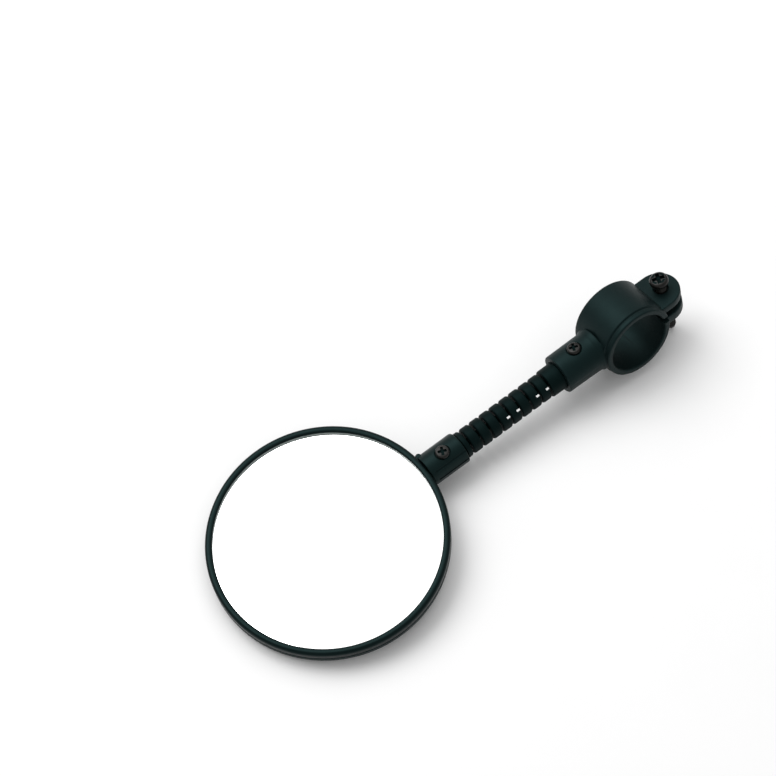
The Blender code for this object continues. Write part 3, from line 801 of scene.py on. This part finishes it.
def barrel_profile():
    end = -CLAMP_SOCKET_X
    radius = CLAMP_SOCKET_R
    barrel = [(0, end), (5.6, end), (6.4, end - 0.03)]
    barrel += arc(radius - 0.47, end - 0.47, 0.42, radians(80), 0, 5)
    barrel += [(radius + 0.05, 17.2), (radius + 0.15, 14.6), (radius + 0.4, 13.9), (radius + 0.75, 13.4)]
    return barrel + [(radius + 0.9, 12.0), (0, 12.0)]


def plug_profile():
    end = -CLAMP_SOCKET_X
    return [(0, 40), (5.3, 40), (5.3, end - 0.3), (4.85, end - 0.7), (4.85, 17.7), (0, 17.7)]


def bolt_hole_profile():
    """Chamfered in the upper ear, wider in the lower one."""
    return [(0, 12), (2.9, 12), (2.75, EAR_TOP - 0.05), (2.35, EAR_TOP - 0.45), (2.35, 1.6), (2.55, 1.6),
            (2.55, -10), (0, -10)]


def ear_outline():
    root = RING_R * 0.72
    return arc(EAR_X, 0, EAR_R, -pi / 2, pi / 2, 32) + [(root, EAR_R), (root, -EAR_R)]


def socket_step(angle, radius, height):
    """The moulding's two halves differ by a hair, which leaves a line along the socket's sides."""
    if radius < 6.5 or height < 15:
        return 0.0
    return 0.12 if cos(angle) > 0.05 else 0.0


def split_jaw(ring):
    """Takes the lower half off the ring, from the slit round to the split line."""
    far = 60
    split_x, split_z = far * cos(SPLIT), far * sin(SPLIT)
    region = [(BORE_R * 0.3, 1.6), (far, 1.6), (far, -far), (split_x, -far), (split_x, split_z), (0, 0)]
    lower = slab("region", region, -30, 30, CLAMP_M @ Matrix.Rotation(pi / 2, 4, "X"))
    jaw = ring.copy()
    jaw.data = ring.data.copy()
    jaw.name = "clamp_jaw_moulding"
    bpy.context.scene.collection.objects.link(jaw)
    boolean(jaw, "INTERSECT", lower, keep=True)
    boolean(ring, "DIFFERENCE", lower)
    return jaw


def bend_jaw(jaw):
    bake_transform(jaw)


def hex_nut():
    top = EAR_BOTTOM - 0.45
    low = top - 3.2
    nut = slab("hex_nut", hexagon(4.04), low, top, BOLT_M)
    chamfer = [(0, top + 0.01), (3.5, top + 0.01), (4.4, top - 0.45), (4.4, low + 0.45), (3.5, low - 0.01)]
    chamfer += [(0, low - 0.01)]
    boolean(nut, "INTERSECT", lathe("chamfer", chamfer, BOLT_M, 64))
    boolean(nut, "DIFFERENCE", lathe("thread", disc(2.33, -12, 0), BOLT_M, 32))
    finish_piece(nut, SCREW, "jaw", ["clamp_nut"], smooth=20)


# ------------------------------------------------------------------ stage

TURN = radians(35.49)   # of the view, from +Y towards +X
RISE = radians(61.24)
LEVEL = radians(-1.71)  # of the camera about its own axis
RIGHT = Vector((cos(TURN), -sin(TURN), 0))
AWAY = Vector((sin(TURN), cos(TURN), 0))
UP = Vector((0, 0, 1))
DISTANCE = 0.7135       # from the target to the camera, in metres
OVERHEAD = radians(62)  # of the softbox, above the far side of the floor


def build_stage():
    floor_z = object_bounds()[0][2] - 0.02 * MM
    target = -(79.69 * RIGHT + 12.03 * AWAY) * MM
    target.z = floor_z
    add_floor(floor_z)
    add_camera(target)
    key_way = (-0.62 * RIGHT + 0.35 * AWAY + UP).normalized()
    add_area("key", target + 1.35 * key_way, target, 0.95, 10.0)
    over_way = cos(OVERHEAD) * AWAY + sin(OVERHEAD) * UP
    add_area("softbox", target + 1.3 * over_way, target, 1.3, 6.0)
    add_world(0.52)
    bpy.context.scene.view_settings.view_transform = "Standard"


def add_floor(height):
    bm = bmesh.new()
    bmesh.ops.create_grid(bm, x_segments=8, y_segments=8, size=3000)
    floor = new_object("floor", bm)
    floor.location.z = height
    floor.data.materials.append(pale_floor("floor_white"))


def add_camera(target):
    camera = bpy.data.objects.new("camera", bpy.data.cameras.new("camera"))
    camera.data.lens = 97.1
    camera.data.sensor_width = 36
    camera.location = target + DISTANCE * (sin(RISE) * UP - cos(RISE) * AWAY)
    aim = (target - camera.location).to_track_quat("-Z", "Y") @ Quaternion((0, 0, 1), LEVEL)
    camera.rotation_euler = aim.to_euler()
    bpy.context.scene.collection.objects.link(camera)
    bpy.context.scene.camera = camera


def add_area(name, place, target, size, power):
    light = bpy.data.lights.new(name, "AREA")
    light.size = size
    light.energy = power
    obj = bpy.data.objects.new(name, light)
    obj.location = place
    obj.rotation_euler = (target - place).to_track_quat("-Z", "Y").to_euler()
    bpy.context.scene.collection.objects.link(obj)


def add_world(strength):
    world = bpy.data.worlds.new("studio")
    bpy.context.scene.world = world
    world.use_nodes = True
    background = world.node_tree.nodes["Background"]
    background.inputs["Color"].default_value = (1.0, 1.0, 1.0, 1.0)
    background.inputs["Strength"].default_value = strength


build_head()
build_neck()
build_clamp()
build_stage()
